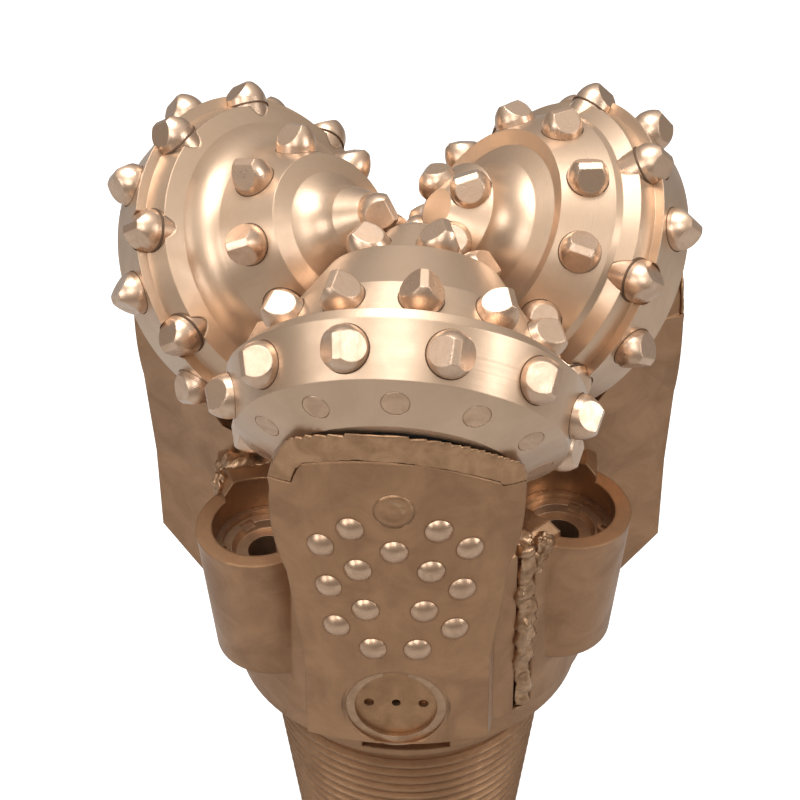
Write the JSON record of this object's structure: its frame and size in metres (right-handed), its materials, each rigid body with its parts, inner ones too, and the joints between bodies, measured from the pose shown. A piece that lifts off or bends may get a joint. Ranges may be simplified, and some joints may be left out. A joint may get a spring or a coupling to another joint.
{
  "type": "tricone drill bit",
  "caption": "Roller cone rock bit: a welded body on a tapered threaded pin, with toothed cones that turn on inclined journals and jet nozzles between them.",
  "frame": {"origin": "centre of the make-up shoulder, where the pin meets the shank", "axes": "+Z along the bit axis towards the cones, -Y through the first leg"},
  "size_m": [0.2186, 0.2095, 0.3327],
  "materials": {
    "leg_steel": "satin copper-toned metallic paint on forged steel",
    "cone_steel": "satin copper-toned metallic paint on turned steel",
    "carbide": "copper-toned paint on polished carbide",
    "hardfacing": "rough weld-on hardfacing",
    "weld_metal": "painted weld bead",
    "canister_steel": "plain sheet steel",
    "cap_steel": "painted steel cap",
    "nozzle_carbide": "ground carbide, lightly painted",
    "bearing_bronze": "bearing bronze",
    "ball_steel": "polished bearing steel",
    "ring_steel": "bright spring steel",
    "rubber": "black nitrile rubber"
  },
  "bodies": {
    "bit_body": {"ball_plug_1": "weld_metal", "ball_plug_2": "weld_metal", "ball_plug_3": "weld_metal", "grease_canister_1": "canister_steel", "grease_canister_2": "canister_steel", "grease_canister_3": "canister_steel", "grease_diaphragm_1": "rubber", "grease_diaphragm_2": "rubber", "grease_diaphragm_3": "rubber", "leg_1": "leg_steel", "leg_2": "leg_steel", "leg_3": "leg_steel", "nozzle_1": "nozzle_carbide", "nozzle_2": "nozzle_carbide", "nozzle_3": "nozzle_carbide", "nozzle_rings": "ring_steel", "nozzle_seal_rings": "rubber", "reservoir_cap_1": "cap_steel", "reservoir_cap_2": "cap_steel", "reservoir_cap_3": "cap_steel", "reservoir_cap_rings": "ring_steel", "seam_weld_1": "weld_metal", "seam_weld_2": "weld_metal", "seam_weld_3": "weld_metal", "shirttail_buttons_1": "carbide", "shirttail_buttons_2": "carbide", "shirttail_buttons_3": "carbide", "shirttail_hardfacing_1": "hardfacing", "shirttail_hardfacing_2": "hardfacing", "shirttail_hardfacing_3": "hardfacing"},
    "cone_1_rotor": {"back_buttons_1": "carbide", "cone_1": "cone_steel", "gauge_inserts_1": "carbide", "heel_inserts_1": "carbide", "inner_inserts_1": "carbide", "journal_bush_1": "bearing_bronze", "journal_seal_1": "rubber", "lock_balls_1": "ball_steel", "thrust_washer_1": "bearing_bronze"},
    "cone_2_rotor": {"back_buttons_2": "carbide", "cone_2": "cone_steel", "gauge_inserts_2": "carbide", "heel_inserts_2": "carbide", "inner_inserts_2": "carbide", "journal_bush_2": "bearing_bronze", "journal_seal_2": "rubber", "lock_balls_2": "ball_steel", "main_inserts_2": "carbide", "thrust_washer_2": "bearing_bronze"},
    "cone_3_rotor": {"back_buttons_3": "carbide", "cone_3": "cone_steel", "gauge_inserts_3": "carbide", "heel_inserts_3": "carbide", "journal_bush_3": "bearing_bronze", "journal_seal_3": "rubber", "lock_balls_3": "ball_steel", "main_inserts_3": "carbide", "spear_insert_3": "carbide", "thrust_washer_3": "bearing_bronze"}
  },
  "joints": [
    {"name": "cone_1_spin", "type": "hinge", "parent": "bit_body", "child": "cone_1_rotor", "pos_m": [0.0055, 0, 0.207], "axis": [0, 0.829, 0.5592], "continuous": true},
    {"name": "cone_2_spin", "type": "hinge", "parent": "bit_body", "child": "cone_2_rotor", "pos_m": [-0.00275, 0.00476, 0.207], "axis": [-0.718, -0.4145, 0.5592], "continuous": true},
    {"name": "cone_3_spin", "type": "hinge", "parent": "bit_body", "child": "cone_3_rotor", "pos_m": [-0.00275, -0.00476, 0.207], "axis": [0.718, -0.4145, 0.5592], "continuous": true}
  ]
}
